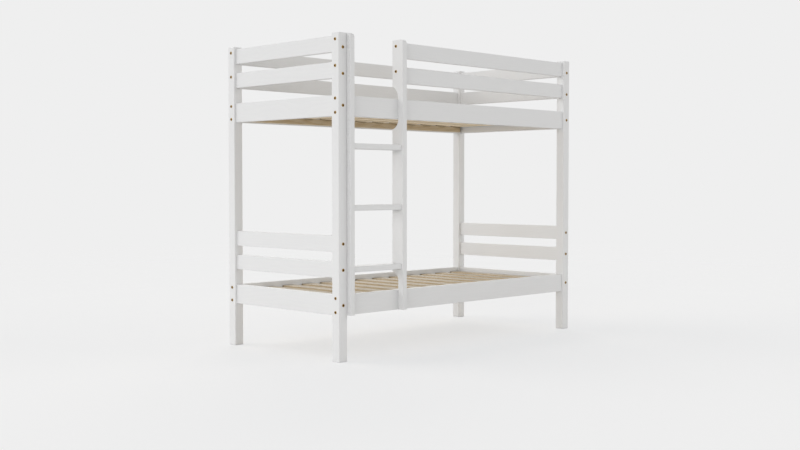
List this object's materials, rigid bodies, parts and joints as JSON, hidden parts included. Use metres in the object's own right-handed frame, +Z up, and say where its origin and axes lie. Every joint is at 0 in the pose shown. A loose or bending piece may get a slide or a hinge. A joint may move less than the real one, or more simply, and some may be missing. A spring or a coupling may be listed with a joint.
{
  "type": "bunk bed",
  "caption": "Painted timber bunk bed: an upper and a lower slatted bunk between square corner posts, guard boards round the upper bunk and a fixed upright ladder at the front.",
  "frame": {"origin": "on the floor, at the middle of the whole bed with its ladder and screw heads", "axes": "+X along the bed from the ladder's end to the other, +Y from the ladder's side to the rear, +Z up"},
  "size_m": [2.105, 1.0394, 1.817],
  "materials": {
    "white_paint": "white satin paint over pine, the grain just showing",
    "natural_pine": "planed bare pine",
    "bronze_screws": "bronzed, dulled"
  },
  "bodies": {
    "root": {"end_board_screws": "bronze_screws", "front_left_post": "white_paint", "front_right_post": "white_paint", "ladder_left_stile": "white_paint", "ladder_lower_rung": "white_paint", "ladder_middle_rung": "white_paint", "ladder_right_stile": "white_paint", "ladder_to_guard_screws": "bronze_screws", "ladder_to_post_screws": "bronze_screws", "ladder_upper_rung": "white_paint", "left_end_lower_mid_board": "white_paint", "left_end_lower_rail": "white_paint", "left_end_lower_top_board": "white_paint", "left_end_upper_mid_guard": "white_paint", "left_end_upper_rail": "white_paint", "left_end_upper_top_guard": "white_paint", "lower_front_ledger": "natural_pine", "lower_front_rail": "white_paint", "lower_rear_ledger": "natural_pine", "lower_rear_rail": "white_paint", "lower_slats": "natural_pine", "rear_left_post": "white_paint", "rear_right_post": "white_paint", "right_end_lower_mid_board": "white_paint", "right_end_lower_rail": "white_paint", "right_end_lower_top_board": "white_paint", "right_end_upper_mid_guard": "white_paint", "right_end_upper_rail": "white_paint", "right_end_upper_top_guard": "white_paint", "side_board_screws": "bronze_screws", "upper_front_ledger": "natural_pine", "upper_front_mid_guard": "white_paint", "upper_front_rail": "white_paint", "upper_front_top_guard": "white_paint", "upper_rear_ledger": "natural_pine", "upper_rear_mid_guard": "white_paint", "upper_rear_rail": "white_paint", "upper_rear_top_guard": "white_paint", "upper_slats": "natural_pine"}
  },
  "joints": []
}
